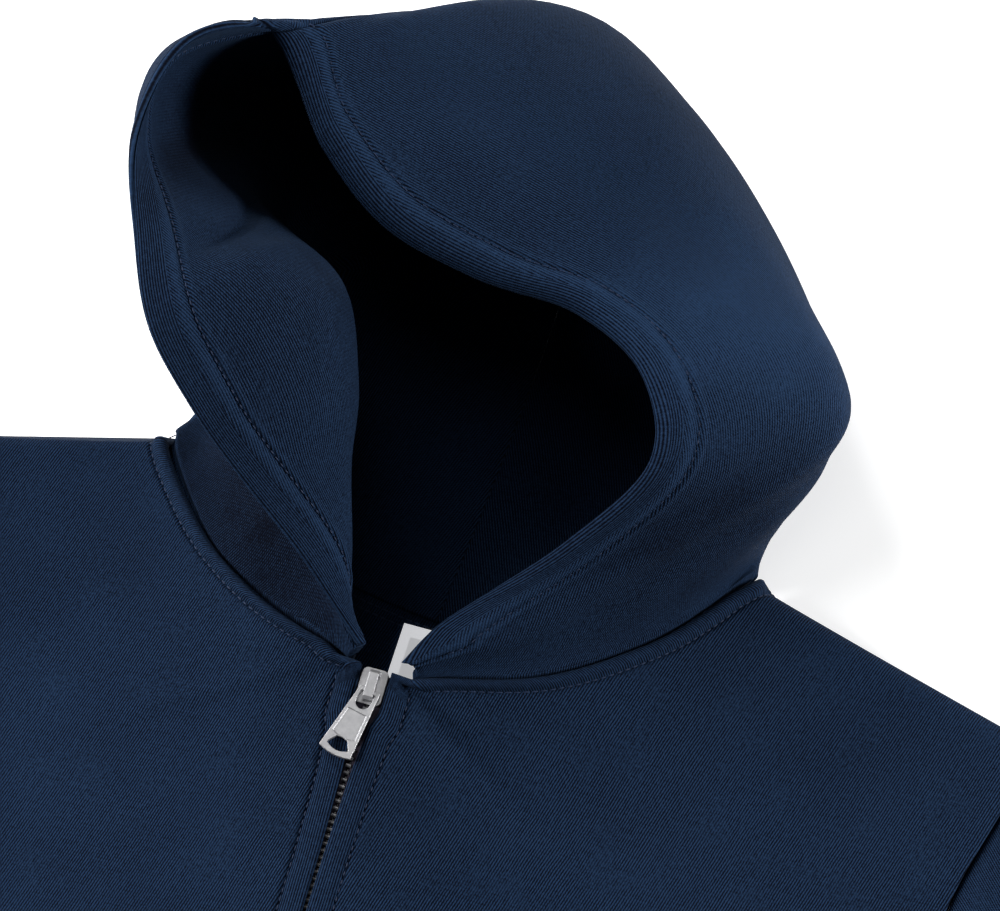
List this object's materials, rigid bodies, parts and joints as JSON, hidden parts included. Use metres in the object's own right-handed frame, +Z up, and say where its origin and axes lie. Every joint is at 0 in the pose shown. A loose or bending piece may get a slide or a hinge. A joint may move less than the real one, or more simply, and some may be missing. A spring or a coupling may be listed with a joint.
{
  "type": "zip up hoodie",
  "caption": "Knit hooded jacket laid flat on its back, hood filled out and open upwards, closed by a front zip with a swinging pull tab; ribbed cuffs and waistband.",
  "frame": {"origin": "middle of the laid-out garment's footprint, on the table", "axes": "+X from the wearer's right sleeve to the left one, +Y from the hem towards the hood, +Z up off the table"},
  "size_m": [1.366, 0.8978, 0.1523],
  "materials": {
    "knit": "matte brushed knit with diagonal wales",
    "lining": "matte brushed knit",
    "rib": "matte ribbed knit",
    "tape": "matte woven tape",
    "label": "smooth woven satin",
    "metal": "satin nickel"
  },
  "bodies": {
    "garment": {"hood_outer_left": "knit", "hood_outer_right": "knit", "hood_lining_left": "lining", "hood_lining_right": "lining", "front_right": "knit", "front_left": "knit", "back_panel": "knit", "sleeve_right": "knit", "sleeve_left": "knit", "cuff_right": "rib", "cuff_left": "rib", "waistband": "rib", "zip_tape_right": "tape", "zip_tape_left": "tape", "zip_chain": "metal", "zip_slider": "metal", "zip_box": "metal", "neck_label": "label"},
    "pull_tab": {"zip_pull_tab": "metal"}
  },
  "joints": [
    {"name": "tab_swing", "type": "hinge", "parent": "garment", "child": "pull_tab", "pos_m": [-0.01, 0.16959, 0.03686], "axis": [-0.9763, 0.2113, 0.047], "range_deg": [0, 120]}
  ]
}
